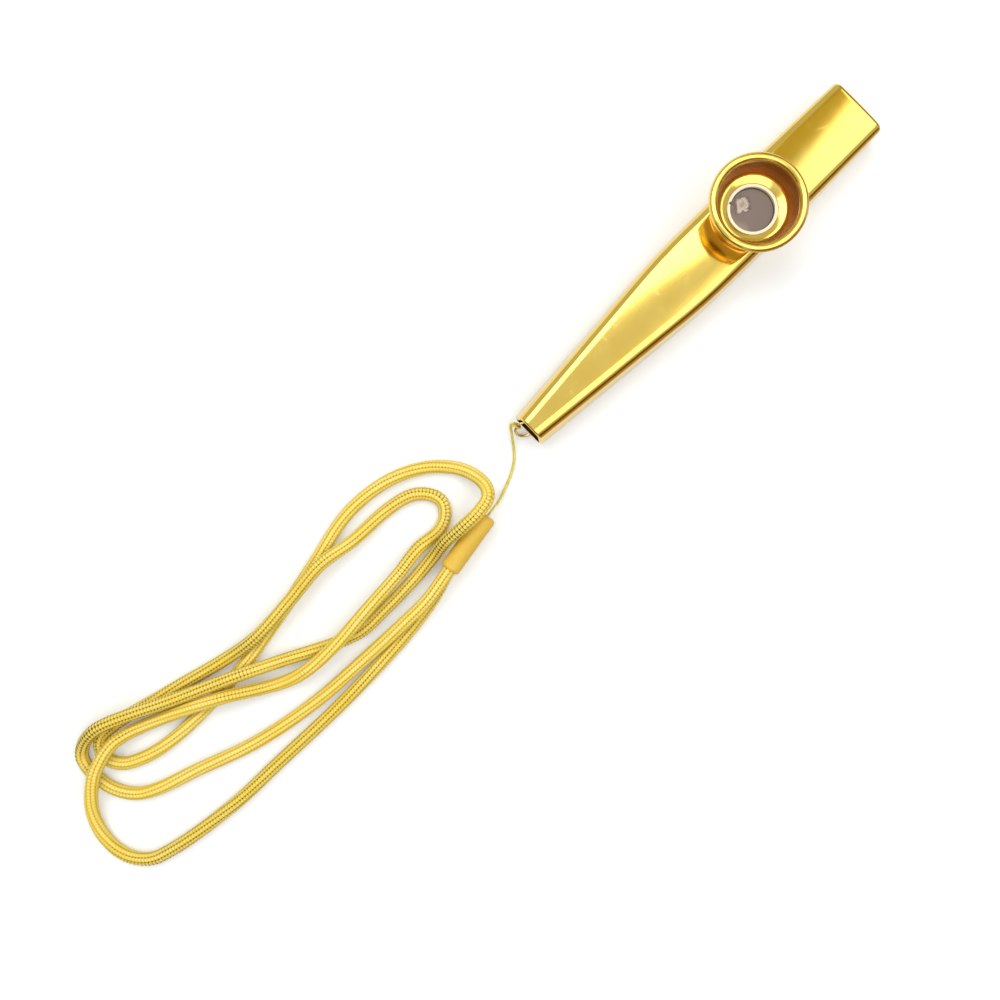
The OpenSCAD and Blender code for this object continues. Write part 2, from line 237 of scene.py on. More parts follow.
def drifting(put, scale, detail, stops, surface):
    """A colour that drifts between the stops, beside the other values given."""
    coords = put("ShaderNodeTexCoord").outputs["Object"]
    drift = put("ShaderNodeTexNoise", {"Vector": coords, "Scale": scale, "Detail": detail})
    return {"Base Color": put("ShaderNodeValToRGB", {"Fac": drift}, stops), **surface}


def knit_tree(yarn, filler):
    """Knits stitches round a core along a curve: eight to a course."""
    tree, put, given = new_tree("knit", (
        "Course pitch", "Core radius", "Stitch half width", "Stitch thickness", "Tip side",
        "Tip along", "Tip rise", "Root along", "Root rise",
    ))
    courses = put("GeometryNodeResampleCurve", {
        "Curve": given["Geometry"], "Length": given["Course pitch"],
    }, mode="LENGTH")
    level = put("GeometryNodeSetCurveNormal", {"Curve": courses}, mode="Z_UP")
    # The cord turns a little one way and the other along its length, as a limp one does.
    way_along = put("ShaderNodeTexNoise", {
        "W": put("GeometryNodeSplineParameter").outputs["Length"], "Scale": 14.0, "Detail": 0.0,
    }, noise_dimensions="1D")
    lie = put(
        "ShaderNodeMath", {0: way_along, 1: LIE_TURN, 2: -LIE_TURN / 2}, operation="MULTIPLY_ADD"
    )
    along = put("GeometryNodeStoreNamedAttribute", {
        "Geometry": put("GeometryNodeSetCurveTilt", {"Curve": level, "Tilt": lie}),
        "Name": "along", "Value": put("GeometryNodeInputTangent"),
    }, data_type="FLOAT_VECTOR")
    core = put("GeometryNodeCurveToMesh", {
        "Curve": along, "Fill Caps": True,
        "Profile Curve": put("GeometryNodeCurvePrimitiveCircle", {
            "Resolution": WALES, "Radius": given["Core radius"],
        }),
    })
    # One stitch is a shallow arch across its column, full in its middle half and thin
    # at its two tips, which meet the next columns' tips. The gaps between tips are the
    # cord's dark holes. It is drawn through four points from 1 to -1.
    spots = put("GeometryNodeResampleCurve", {
        "Curve": put("GeometryNodeCurvePrimitiveLine", {"Start": (1, 0, 0), "End": (-1, 0, 0)}),
        "Count": 4,
    }, mode="COUNT")
    at = put("ShaderNodeSeparateXYZ", {0: put("GeometryNodeInputPosition")}).outputs["X"]
    squared = put("ShaderNodeMath", {0: at, 1: at}, operation="MULTIPLY")
    tip_share = put("ShaderNodeMath", {0: squared, 1: squared}, operation="MULTIPLY")
    widen = put("ShaderNodeMath", {0: squared, 1: -0.6, 2: 1.6}, operation="MULTIPLY_ADD")
    side_share = put("ShaderNodeMath", {0: at, 1: widen}, operation="MULTIPLY")
    place = put("ShaderNodeCombineXYZ", {
        "X": put("ShaderNodeMath", {0: side_share, 1: given["Tip side"]}, operation="MULTIPLY"),
        "Y": put("ShaderNodeMapRange", {
            "Value": tip_share, "To Min": given["Root along"], "To Max": given["Tip along"],
        }),
        "Z": put("ShaderNodeMapRange", {
            "Value": tip_share, "To Min": given["Root rise"], "To Max": given["Tip rise"],
        }),
    })
    arch = put("GeometryNodeSetPosition", {"Geometry": spots, "Position": place})
    upright = put("GeometryNodeSetCurveNormal", {"Curve": arch}, mode="Z_UP")
    from_middle = put("ShaderNodeMath", {
        0: put("GeometryNodeSplineParameter").outputs["Factor"], 1: 2.0, 2: -1.0,
    }, operation="MULTIPLY_ADD")
    fourth = put("ShaderNodeMath", {0: from_middle, 1: 4.0}, operation="POWER")
    thick = put("ShaderNodeMath", {0: fourth, 1: -0.8, 2: 1.0}, operation="MULTIPLY_ADD")
    shaded = put("GeometryNodeStoreNamedAttribute", {
        "Geometry": put("GeometryNodeSetCurveRadius", {"Curve": upright, "Radius": thick}),
        "Name": "tip", "Value": fourth,
    })
    # Its section is a flat strip with its edges drawn in below, which is a triangle. It
    # leans a little, so that every stitch overlaps the next one as loops do. One of the
    # two edges is marked as the covered one.
    one_edge = put("FunctionNodeCompare", {
        2: put("GeometryNodeInputIndex"), 3: 1,
    }, data_type="INT", operation="EQUAL")
    section = put("GeometryNodeStoreNamedAttribute", {
        "Geometry": put("GeometryNodeCurvePrimitiveCircle", {"Resolution": 3, "Radius": 1.0}),
        "Name": "under", "Value": one_edge,
    })
    section_size = put("ShaderNodeCombineXYZ", {
        "X": put(
            "ShaderNodeMath", {0: given["Stitch thickness"], 1: 2 / 3}, operation="MULTIPLY"
        ),
        "Y": put("ShaderNodeMath", {
            0: given["Stitch half width"], 1: 2 / sqrt(3),
        }, operation="MULTIPLY"),
        "Z": 1.0,
    })
    face_up = put("GeometryNodeTransform", {
        "Geometry": section, "Rotation": (0, 0, pi / 2 + STITCH_LEAN), "Scale": section_size,
    })
    full_stitch = put("GeometryNodeCurveToMesh", {
        "Curve": shaded, "Profile Curve": face_up, "Fill Caps": True,
    })
    # Its upper face is smooth and its two edges are sharp, so that one column of
    # stitches reads as one strip.
    facing = put("ShaderNodeSeparateXYZ", {0: put("GeometryNodeInputNormal")}).outputs["Z"]
    stitch = put("GeometryNodeSetShadeSmooth", {
        "Geometry": full_stitch,
        "Shade Smooth": put("FunctionNodeCompare", {0: facing, 1: 0.4}, operation="GREATER_THAN"),
    })
    turn = put("FunctionNodeAxesToRotation", {
        "Primary Axis": put("GeometryNodeInputNormal"),
        "Secondary Axis": put(
            "GeometryNodeInputNamedAttribute", {"Name": "along"}, data_type="FLOAT_VECTOR"
        ),
    }, primary_axis="Z", secondary_axis="Y")
    stitches = put("GeometryNodeInstanceOnPoints", {
        "Points": core, "Instance": stitch, "Rotation": turn,
    })
    real = put("GeometryNodeRealizeInstances", {"Geometry": stitches})
    joined = put("GeometryNodeJoinGeometry")
    for cloth, yarn_there in ((real, yarn), (core, filler)):
        dressed = put("GeometryNodeSetMaterial", {"Geometry": cloth, "Material": yarn_there})
        tree.links.new(dressed.outputs[0], joined.inputs[0])
    put("NodeGroupOutput", {
        0: put("GeometryNodeRemoveAttribute", {"Geometry": joined, "Name": "along"}),
    })
    return tree


# Loose filler yarn in the cord's middle is coloured dark brown as painted shade, and shows as dark
# dots in the holes.
filler_yarn = made_of(
    "filler yarn in shade", drifting, 3000.0, 1.0, ((0, "#3A2004"), (1, "#5E3A08")),
    {"Roughness": 0.9},
)
cord_points = route_points(CORD_ROUTE, CORD_D / 2, CORD_SMOOTH_STEPS)
neck_cord = grown(
    route_curve("cord line", cord_points), "knitted_cord",
    knit_tree(made_of("knitted polyester yarn", knitted_polyester), filler_yarn),
    {
        "Course pitch": COURSE_PITCH, "Core radius": CORE_R, "Stitch half width": STITCH_HALF,
        "Stitch thickness": STITCH_T, "Tip side": TIP_AT * sin(pi / WALES),
        "Tip along": TIP_ALONG, "Tip rise": TIP_AT * cos(pi / WALES) - CORE_R,
        "Root along": ROOT_ALONG, "Root rise": ROOT_AT - CORE_R,
    },
)
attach(neck_cord, "kazoo_body")
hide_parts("neck_cord")

# Lanyard sleeve
# A soft moulded sleeve, pressed over both cord ends and the string, in a matt
# orange yellow. Its two ends are rounded over, and each cord end has its own bore.
SLEEVE_FOOT = Vector((-120.5, -11.5, 0)) * MM
SLEEVE_HEAD = Vector((-103.4, -8.5, 0)) * MM
SLEEVE_L = 17.3 * MM
SLEEVE_W = 5.4 * MM
SLEEVE_H = 8.5 * MM
SLEEVE_EDGE = 0.8 * MM
CORD_BORE_R = CORD_D / 2 + 0.03 * MM
CORD_BORE_DEPTH = 6 * MM
CORD_BORE_HEIGHTS = (2.3 * MM, 6.2 * MM)
STRING_BORE_R = 0.76 * MM
STRING_BORE_DEPTH = 3 * MM
STRING_BORE_HEIGHT = 4.2 * MM
# A cutter stands out this far past the face that it starts from.
CUT_OVER = 1 * MM


def skin_mesh(name, rings, closed=False):
    """A mesh of quads between rings of points. Open ends get a flat cap each."""
    count = len(rings[0])
    spots = [tuple(p) for ring in rings for p in ring]
    faces = []
    for i in range(len(rings) if closed else len(rings) - 1):
        a, b = i * count, (i + 1) % len(rings) * count
        for j in range(count):
            k = (j + 1) % count
            faces.append((a + j, a + k, b + k, b + j))
    if not closed:
        faces.append(tuple(reversed(range(count))))
        faces.append(tuple(range(len(spots) - count, len(spots))))
    mesh = bpy.data.meshes.new(name)
    mesh.from_pydata(spots, [], faces)
    mesh.shade_smooth()
    return placed(name, mesh)


def outward(piece, weld=0.0):
    """Welds points nearer than a distance, and turns every face of the mesh outwards."""
    work = bmesh.new()
    work.from_mesh(piece.data)
    bmesh.ops.remove_doubles(work, verts=work.verts, dist=weld)
    bmesh.ops.dissolve_degenerate(work, edges=work.edges, dist=weld)
    bmesh.ops.recalc_face_normals(work, faces=work.faces)
    work.to_mesh(piece.data)
    work.free()
    return piece


def drilled(piece, cutters):
    """Cuts each cutter out of the piece, and removes the cutters."""
    for cutter in cutters:
        cut = piece.modifiers.new("cut", "BOOLEAN")
        cut.operation = "DIFFERENCE"
        cut.solver = "EXACT"
        cut.object = cutter
    result = plain_mesh(piece, piece.name)
    for cutter in cutters:
        bpy.data.objects.remove(cutter)
    return result


def rod(name, start, end, radius, sides=48):
    """A plain rod from start to end, to cut with."""
    run = (end - start).normalized()
    side = run.cross(Vector((0, 0, 1)) if abs(run.z) < 0.9 else Vector((1, 0, 0))).normalized()
    other = run.cross(side)
    turns = [2 * pi * k / sides for k in range(sides)]
    return outward(skin_mesh(name, [
        [at + radius * (cos(a) * side + sin(a) * other) for a in turns]
        for at in (start, end)
    ]))


def dressed_in(piece, *materials):
    """The piece with these materials and no other. Its faces take the first one."""
    piece.data.materials.clear()
    for material in materials:
        piece.data.materials.append(material)
    return piece


def soft_vinyl(put):
    """Soft moulded vinyl: matt, faintly cloudy, with a fine moulded grain."""
    coords = put("ShaderNodeTexCoord").outputs["Object"]
    cloud = put("ShaderNodeTexNoise", {"Vector": coords, "Scale": 220.0, "Detail": 3.0})
    # The mould's grain is 0.05 mm wide. It is drawn at 0.2 mm, to show.
    grain = put("ShaderNodeTexNoise", {"Vector": coords, "Scale": 5000.0, "Detail": 2.0})
    relief = put("ShaderNodeBump", {"Height": grain, "Strength": 0.3, "Distance": 0.03 * MM})
    colour = put("ShaderNodeValToRGB", {"Fac": cloud}, ((0.35, "#DEB63E"), (0.65, "#E6BF46")))
    return {"Base Color": colour, "Normal": relief, "Roughness": 0.6}


def sleeve_ring(at, inset):
    """The sleeve's upright outline with round ends, at a distance along it."""
    side = Vector((-sleeve_run.y, sleeve_run.x, 0))
    radius = SLEEVE_W / 2
    points = []
    for centre, first in ((SLEEVE_H - radius, 0), (radius, pi)):
        for k in range(17):
            a = first + pi * k / 16
            points.append(
                SLEEVE_FOOT + sleeve_run * at
                + side * (radius - inset) * cos(a)
                + Vector((0, 0, centre + (radius - inset) * sin(a)))
            )
    return points


sleeve_run = (SLEEVE_HEAD - SLEEVE_FOOT).normalized()
edge_turns = [radians(a) for a in range(90, -1, -15)]
round_over = [(SLEEVE_EDGE * (1 - sin(a)), SLEEVE_EDGE * (1 - cos(a))) for a in edge_turns]
sleeve_blank = outward(skin_mesh(
    "vinyl_sleeve",
    [sleeve_ring(at, inset) for at, inset in round_over]
    + [sleeve_ring(SLEEVE_L * share, 0) for share in (0.05, 0.25, 0.5, 0.75, 0.95)]
    + [sleeve_ring(SLEEVE_L - at, inset) for at, inset in reversed(round_over)],
))
sleeve_bores = [(z, -CUT_OVER, CORD_BORE_DEPTH, CORD_BORE_R) for z in CORD_BORE_HEIGHTS]
sleeve_bores.append(
    (STRING_BORE_HEIGHT, SLEEVE_L - STRING_BORE_DEPTH, SLEEVE_L + CUT_OVER, STRING_BORE_R)
)
sleeve = dressed_in(drilled(sleeve_blank, [
    rod(
        "sleeve bore", SLEEVE_FOOT + sleeve_run * start + Vector((0, 0, z)),
        SLEEVE_FOOT + sleeve_run * end + Vector((0, 0, z)), radius,
    )
    for z, start, end, radius in sleeve_bores
]), made_of("soft moulded vinyl", soft_vinyl))
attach(sleeve, "kazoo_body")
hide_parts("lanyard_sleeve")

# Lanyard string
# One loop of plied nylon thread. Its two strands leave the sleeve one above the
# other, lie on the table, rise beside the ring and wrap its wire once.
STRING_D = 0.7 * MM
STRAND_PITCH = 0.74 * MM
STRING_ROUTE = (
    (-106.4, -9, 4.2), (-103.4, -8.5, 4.2), (-100.5, -8.1, 3.4), (-98.1, -7.7, 2.2),
    (-93.7, -6.1, 0.85), (-90.5, -4.6, 0.74), (-87.8, -2.8, 0.74), (-86.1, -1, 0.9),
    (-85.06, 0.34, 1.5), (-84.08, 1.74, 2.4), (-83.12, 3.12, 3.6), (-82.5, 4, 4.6),
    (-81.9, 4.3, 5.2), (-81.4, 3.95, 5.35),
)
STRING_SMOOTH_STEPS = 6
WIRE_R = 0.4 * MM
RING_R = 2.6 * MM
RING_YAW = radians(25)
RING_TILT = radians(40)
RING_HOLE = Vector((-77.6, 0, 3)) * MM
RING_OUT = Vector((-cos(RING_YAW), sin(RING_YAW), 0))
RING_UP = Vector((
    -sin(RING_YAW) * cos(RING_TILT), -cos(RING_YAW) * cos(RING_TILT),
    sin(RING_TILT),
))
RING_SIDE = RING_OUT.cross(RING_UP)
RING_AT = RING_HOLE + RING_R * RING_OUT
WRAP_TURN = radians(50)
WRAP_OUT = cos(WRAP_TURN) * RING_OUT + sin(WRAP_TURN) * RING_SIDE
WRAP_AT = RING_AT + RING_R * WRAP_OUT
WRAP_R = WIRE_R + 0.05 * MM + STRING_D / 2
WRAP_ANGLES = [radians(a) for a in range(60, 301, 20)]
PLY_PITCH = 1.1 * MM
PLY_DIP = 0.72
STRING_STEP = 0.14 * MM


def drawn_along(put, line, section, material):
    """Ends a tree: its section drawn along its line, smooth, in a material."""
    drawn = put("GeometryNodeCurveToMesh", {
        "Curve": line, "Profile Curve": section, "Fill Caps": True,
    })
    dressed = put("GeometryNodeSetMaterial", {"Geometry": drawn, "Material": material})
    smooth = put("GeometryNodeSetShadeSmooth", {"Geometry": dressed})
    put("NodeGroupOutput", {0: put("GeometryNodeRealizeInstances", {"Geometry": smooth})})


def thread_tree(thread):
    """Draws a plied thread along a curve: a three-lobed section that turns as it goes."""
    tree, put, given = new_tree("thread", ("Step", "Radius", "Ply pitch"))
    steps = put("GeometryNodeResampleCurve", {
        "Curve": given["Geometry"], "Length": given["Step"],
    }, mode="LENGTH")
    level = put("GeometryNodeSetCurveNormal", {"Curve": steps}, mode="MINIMUM_TWIST")
    run = put("GeometryNodeSplineParameter").outputs["Length"]
    turns = put("ShaderNodeMath", {0: run, 1: given["Ply pitch"]}, operation="DIVIDE")
    angle = put("ShaderNodeMath", {0: turns, 1: 2 * pi}, operation="MULTIPLY")
    lobes = put("GeometryNodeCurveStar", {
        "Points": 3, "Outer Radius": given["Radius"],
        "Inner Radius": put("ShaderNodeMath", {
            0: given["Radius"], 1: PLY_DIP,
        }, operation="MULTIPLY"),
    })
    drawn_along(
        put, put("GeometryNodeSetCurveTilt", {"Curve": level, "Tilt": angle}), lobes, thread
    )
    return tree


string_middle = route_points(STRING_ROUTE, STRING_D / 2, STRING_SMOOTH_STEPS)
string_last = len(string_middle) - 1
strand_ways = []
for i in range(string_last + 1):
    run = string_middle[min(i + 1, string_last)] - string_middle[max(i - 1, 0)]
    lay = Vector((0, 0, 1)).lerp(RING_UP, i / string_last)
    strand_ways.append((lay - lay.project(run)).normalized() * STRAND_PITCH / 2)
string_points = (
    [p + way for p, way in zip(string_middle, strand_ways)]
    + [
        WRAP_AT + WRAP_R * (cos(a) * WRAP_OUT + sin(a) * RING_UP)
        for a in WRAP_ANGLES
    ]
    + [p - way for p, way in zip(reversed(string_middle), reversed(strand_ways))]
)
# Plied nylon thread is a little shiny, and this one is a pale olive yellow.
plied_nylon = made_of(
    "plied nylon thread", drifting, 700.0, 2.0, ((0.3, "#D6C23E"), (0.7, "#F2E05E")),
    {"Roughness": 0.4, "Sheen Weight": 0.2, "Sheen Tint": linear("#FFF7B0")},
)
string = grown(
    route_curve("string line", string_points), "nylon_string", thread_tree(plied_nylon),
    {"Step": STRING_STEP, "Radius": STRING_D / 2, "Ply pitch": PLY_PITCH},
)
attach(string, "kazoo_body")
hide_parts("lanyard_string")

# Body tube
# One piece of thin aluminium, pressed and rolled into a flat tapered tube, then
# polished and anodised gold. The wide mouth has its edge rolled inwards, and the
# narrow end has a small hole below for the ring.
WALL = 0.8 * MM
NARROW_X = 80 * MM
MOUTH_X = 41 * MM
TAPER_L = 56 * MM
BLEND = 0.15
FALL_X = 13 * MM
# Each size is given at the narrow end, under the turret and at the mouth.
TUBE_WIDTHS = (10 * MM, 19.8 * MM, 18.2 * MM)
TUBE_TOPS = (11.1 * MM, 12.6 * MM, 11 * MM)
TUBE_FLATS = (1.9 * MM, 13 * MM, 12.6 * MM)
TUBE_LEANS = (0.9 * MM, 0.6 * MM, 0.5 * MM)
TUBE_DROPS = (2.6 * MM, 2.4 * MM, 1.8 * MM)
TUBE_LIFT = 2.7 * MM
TUBE_CORNER = 1.6 * MM
LIP_R = 1.2 * MM
EDGE_R = 0.6 * MM
END_LEAN = 0.6 * MM
LEAN_L = 8 * MM
COLLAR_HOLE_R = 6.25 * MM
RING_HOLE_R = 1 * MM
# A flat gets one more row of points this far from its rounded edge, so that its
# reflections stay flat right up to there.
GUARD = 0.3 * MM
# The flat top is very slightly crowned across, as pressed sheet is.
CROWN_R = 140 * MM


def grown_share(x):
    """Share of the full section that the taper has reached at x."""
    u = (x + NARROW_X) / TAPER_L
    if u < 1 - BLEND:
        return u
    return 1 if u > 1 + BLEND else u - (u - 1 + BLEND) ** 2 / (4 * BLEND)


def tube_size(x, sizes):
    """A size of the section at x from its values at both ends and under the turret."""
    narrow, wide, mouth = sizes
    if x <= 0:
        return narrow + (wide - narrow) * grown_share(x)
    return wide + (mouth - wide) * x / MOUTH_X


def tube_top(x):
    """Height of the tube's top at x."""
    if x <= FALL_X:
        return TUBE_TOPS[0] + (TUBE_TOPS[1] - TUBE_TOPS[0]) * grown_share(min(x, 0))
    return TUBE_TOPS[1] + (TUBE_TOPS[2] - TUBE_TOPS[1]) * (x - FALL_X) / (MOUTH_X - FALL_X)


def tube_bottom(x):
    """Height of the tube's underside at x: the narrow end is lifted off the table."""
    return TUBE_LIFT * (1 - grown_share(min(x, 0)))


def tube_ring(x, d):
    """The tube's section at x, drawn in by d, as points in space."""
    half_w = tube_size(x, TUBE_WIDTHS) / 2
    drop = tube_size(x, TUBE_DROPS)
    flat = tube_size(x, TUBE_FLATS) / 2
    shoulder = half_w - tube_size(x, TUBE_LEANS) - flat
    bottom, top = tube_bottom(x), tube_top(x)
    low, high = bottom + TUBE_CORNER, top - drop
    foot = half_w - TUBE_CORNER
    half = [(0, low - TUBE_CORNER + d), (foot - GUARD, low - TUBE_CORNER + d)]
    for k in range(9):
        a = radians(-90 + 90 * k / 8)
        half.append((foot + (TUBE_CORNER - d) * cos(a), low + (TUBE_CORNER - d) * sin(a)))
    side = half[-1]
    crown = []
    for k in range(13):
        a = radians(90 * k / 12)
        crown.append((flat + (shoulder - d) * cos(a), high + (drop - d) * sin(a)))
    for share in (0.06, 0.5, 0.94):
        half.append(tuple(s + (c - s) * share for s, c in zip(side, crown[0])))
    for share in (1, 0.75, 0.5, 0.25, 0):
        crown.append(((flat - GUARD) * share, high + drop - d))
    half += [(y, z - y * y / (2 * CROWN_R)) for y, z in crown]
    both = half + [(-y, z) for y, z in reversed(half[1:-1])]
    lean = END_LEAN * max(0, 1 - (x + NARROW_X) / LEAN_L)
    return [Vector((x + lean * (z - bottom) / (top - bottom), y, z)) for y, z in both]


def gold_anodised(put, grain_axis, wear, polish=(0.07, 0.15)):
    """Polished aluminium, dyed gold: a mirror gone a little soft, with fine drawn or
    turned lines along one axis, faint cloudiness and hairline scratches."""
    coords = put("ShaderNodeTexCoord").outputs["Object"]
    stretch = [1.0, 1.0, 1.0]
    stretch[grain_axis] = 0.02
    # The drawing lines are 0.02 mm apart. They are drawn at 0.12 mm, to show.
    drawn = put("ShaderNodeMapping", {"Vector": coords, "Scale": stretch})
    lines = put("ShaderNodeTexNoise", {
        "Vector": drawn, "Scale": 8000.0, "Detail": 2.0, "Roughness": 0.6,
    })
    cloud = put("ShaderNodeTexNoise", {"Vector": coords, "Scale": 160.0, "Detail": 3.0})
    # Hairline scratches show only where the cloud says that the metal is worn.
    scratched = put("ShaderNodeMapping", {
        "Vector": coords, "Scale": (1.0, 0.25, 1.0), "Rotation": (0, 0, 0.7),
    })
    scratches = put("ShaderNodeTexVoronoi", {
        "Vector": scratched, "Scale": 260.0,
    }, feature="DISTANCE_TO_EDGE")
    hairs = put("ShaderNodeMapRange", {
        "Value": scratches.outputs["Distance"], "From Max": 0.02, "To Min": 1.0, "To Max": 0.0,
    })
    worn = put("ShaderNodeMapRange", {"Value": cloud, "From Min": 0.58, "From Max": 0.72})
    marks = put("ShaderNodeMath", {0: hairs, 1: worn}, operation="MULTIPLY")
    rough = put("ShaderNodeMapRange", {"Value": lines, "To Min": polish[0], "To Max": polish[1]})
    return {
        "Base Color": put(
            "ShaderNodeValToRGB", {"Fac": cloud}, ((0.3, "#F2CD5E"), (0.75, "#F5D56A"))
        ),
        "Roughness": put("ShaderNodeMath", {
            0: marks, 1: 0.25 * wear, 2: rough,
        }, operation="MULTIPLY_ADD"),
        "Normal": put("ShaderNodeBump", {
            "Height": lines, "Strength": 0.05, "Distance": 0.01 * MM,
        }),
        "Metallic": 1.0, "Coat Weight": 0.4, "Coat Roughness": 0.08,
    }


def dull_inside(put):
    """The tube's inside, which no wheel reaches: the metal lies dull there, and it is painted
    dark as shade, darkest in the narrow end."""
    coords = put("ShaderNodeTexCoord").outputs["Object"]
    stain = put("ShaderNodeTexNoise", {"Vector": coords, "Scale": 300.0, "Detail": 2.0})
    wide_share = put("ShaderNodeMapRange", {
        "Value": put("ShaderNodeSeparateXYZ", {0: coords}).outputs["X"],
        "From Min": 10 * MM - NARROW_X, "From Max": 30 * MM - NARROW_X,
    })
    # Painted shade: near black up to 10 mm from the narrow end, and a darker gold from 30 mm on.
    deep = put("ShaderNodeMix", {
        "Factor": wide_share, "B": linear("#B8862E"),
        "A": put("ShaderNodeValToRGB", {"Fac": stain}, ((0, "#3A2208"), (1, "#5A380E"))),
    }, data_type="RGBA")
    return {"Base Color": deep, "Metallic": 1.0, "Roughness": 0.4}


taper_stops = [k / 20 for k in range(1, 17)] + [0.85 + 0.03 * k for k in range(11)]
tube_stops = [s * TAPER_L - NARROW_X for s in taper_stops if s * TAPER_L > EDGE_R]
tube_stops += [x * MM for x in (-12, -8, -4, 0, 4, 8, 12.7, 13, 13.3, 20, 27, 34, 39.2)]
quarter = [radians(11.25 * k) for k in range(9)]
lip_x = MOUTH_X - LIP_R
lip_in = LIP_R - WALL
# The skin runs along the outside, round the lip and back along the inside.
tube_path = [(EDGE_R * (1 - cos(a)) - NARROW_X, EDGE_R * (1 - sin(a))) for a in quarter]
tube_path += [(x, 0) for x in tube_stops]
tube_path += [(lip_x + LIP_R * sin(a), LIP_R * (1 - cos(a))) for a in quarter]
tube_path += [(lip_x + lip_in * sin(a), LIP_R - lip_in * cos(a)) for a in reversed(quarter)]
tube_path += [(x, WALL) for x in reversed(tube_stops)] + [(-NARROW_X, WALL)]
tube_blank = outward(skin_mesh("pressed_tube", [tube_ring(x, d) for x, d in tube_path], closed=True))
tube = dressed_in(
    drilled(tube_blank, [
        rod("collar hole", Vector((0, 0, 9 * MM)), Vector((0, 0, 14 * MM)), COLLAR_HOLE_R, 96),
        rod(
            "ring hole", Vector((RING_HOLE.x, 0, -CUT_OVER)),
            Vector((RING_HOLE.x, 0, 4.5 * MM)), RING_HOLE_R,
        ),
    ]),
    made_of("gold anodised pressed aluminium", gold_anodised, 0, 1.0),
    made_of("gold anodised unpolished inside", dull_inside),
)
# A face that looks towards the tube's middle line is an inside one.
for face in tube.data.polygons:
    middle_z = (tube_top(face.center.x) + tube_bottom(face.center.x)) / 2
    outwards = Vector((0, face.center.y, face.center.z - middle_z)).normalized()
    face.material_index = 1 if face.normal.dot(outwards) < -0.4 else 0
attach(tube, "kazoo_body")
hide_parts("body_tube")

# Jump ring
# A split ring of round wire, plated gold, that passes through the tube's underside.
# Its two ends are cut square and nearly meet on the ring's lower side.
RING_SPLIT = radians(2.5)
RING_STEPS = 96


def plated_wire(put):
    """Gold-plated steel wire: bright, a little paler than the anodised tube."""
    coords = put("ShaderNodeTexCoord").outputs["Object"]
    drift = put("ShaderNodeTexNoise", {"Vector": coords, "Scale": 1500.0, "Detail": 2.0})
    return {
        "Base Color": put("ShaderNodeValToRGB", {"Fac": drift}, ((0, "#E0BE74"), (1, "#F2D898"))),
        "Roughness": put("ShaderNodeMapRange", {"Value": drift, "To Min": 0.16, "To Max": 0.3}),
        "Metallic": 1.0,
    }


def wire_tree(wire):
    """Draws round wire along a curve."""
    tree, put, given = new_tree("wire", ("Radius",))
    drawn_along(
        put, given["Geometry"],
        put("GeometryNodeCurvePrimitiveCircle", {"Resolution": 20, "Radius": given["Radius"]}),
        wire,
    )
    return tree


ring_turns = [
    RING_SPLIT / 2 - pi / 2 + (2 * pi - RING_SPLIT) * k / RING_STEPS
    for k in range(RING_STEPS + 1)
]
jump_ring = grown(
    route_curve("ring line", [
        RING_AT + RING_R * (cos(a) * RING_OUT + sin(a) * RING_SIDE) for a in ring_turns
    ]),
    "wire_ring", wire_tree(made_of("gold plated wire", plated_wire)), {"Radius": WIRE_R},
)
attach(jump_ring, "ring")
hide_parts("jump_ring")

# Turret collar
# A turned aluminium collar, pushed through the tube's top and staked over below.
# Its rim carries the outside thread for the cap, and its recess the membrane.
TUBE_TOP = TUBE_TOPS[1]
COLLAR_BORE_R = 5.35 * MM
SPIGOT_R = 6.2 * MM
STAKE_R = 6.5 * MM
STAKE_Z = 11.2 * MM
THREAD_R = 8.2 * MM
THREAD_TOP = 14.9 * MM
RECESS_R = 7.7 * MM
SEAT_Z = 14 * MM
THREAD_PITCH = 0.75 * MM
THREAD_DEPTH = 0.22 * MM
COLLAR_FILLET = 0.06 * MM
TURN_STEPS = 128
DUST = 0.001 * MM


def filleted(outline, radius, steps=4):
    """The outline of points (r, z) with every corner rounded, less where edges are short."""
    spots = [Vector(p) for p in outline]
    rounded = []
    for i, at in enumerate(spots):
        before, after = spots[i - 1] - at, spots[(i + 1) % len(spots)] - at
        angle = before.angle(after)
        reach = min(radius / tan(angle / 2), before.length * 0.45, after.length * 0.45)
        start, end = at + before.normalized() * reach, at + after.normalized() * reach
        if angle > radians(175):
            rounded.append(at)
            continue
        for k in range(steps + 1):
            t = k / steps
            rounded.append((1 - t) ** 2 * start + 2 * t * (1 - t) * at + t * t * end)
    return rounded


def turned(name, outline, material):
    """A closed body of revolution round the turret's axis, with its flats kept flat."""
    rings = []
    for k in range(TURN_STEPS):
        a = 2 * pi * k / TURN_STEPS
        rings.append([Vector((p.x * cos(a), p.x * sin(a), p.y)) for p in outline])
    blank = outward(skin_mesh(name, rings, closed=True), DUST)
    blank.modifiers.new("flats", "WEIGHTED_NORMAL").keep_sharp = True
    return dressed_in(plain_mesh(blank, name), material)


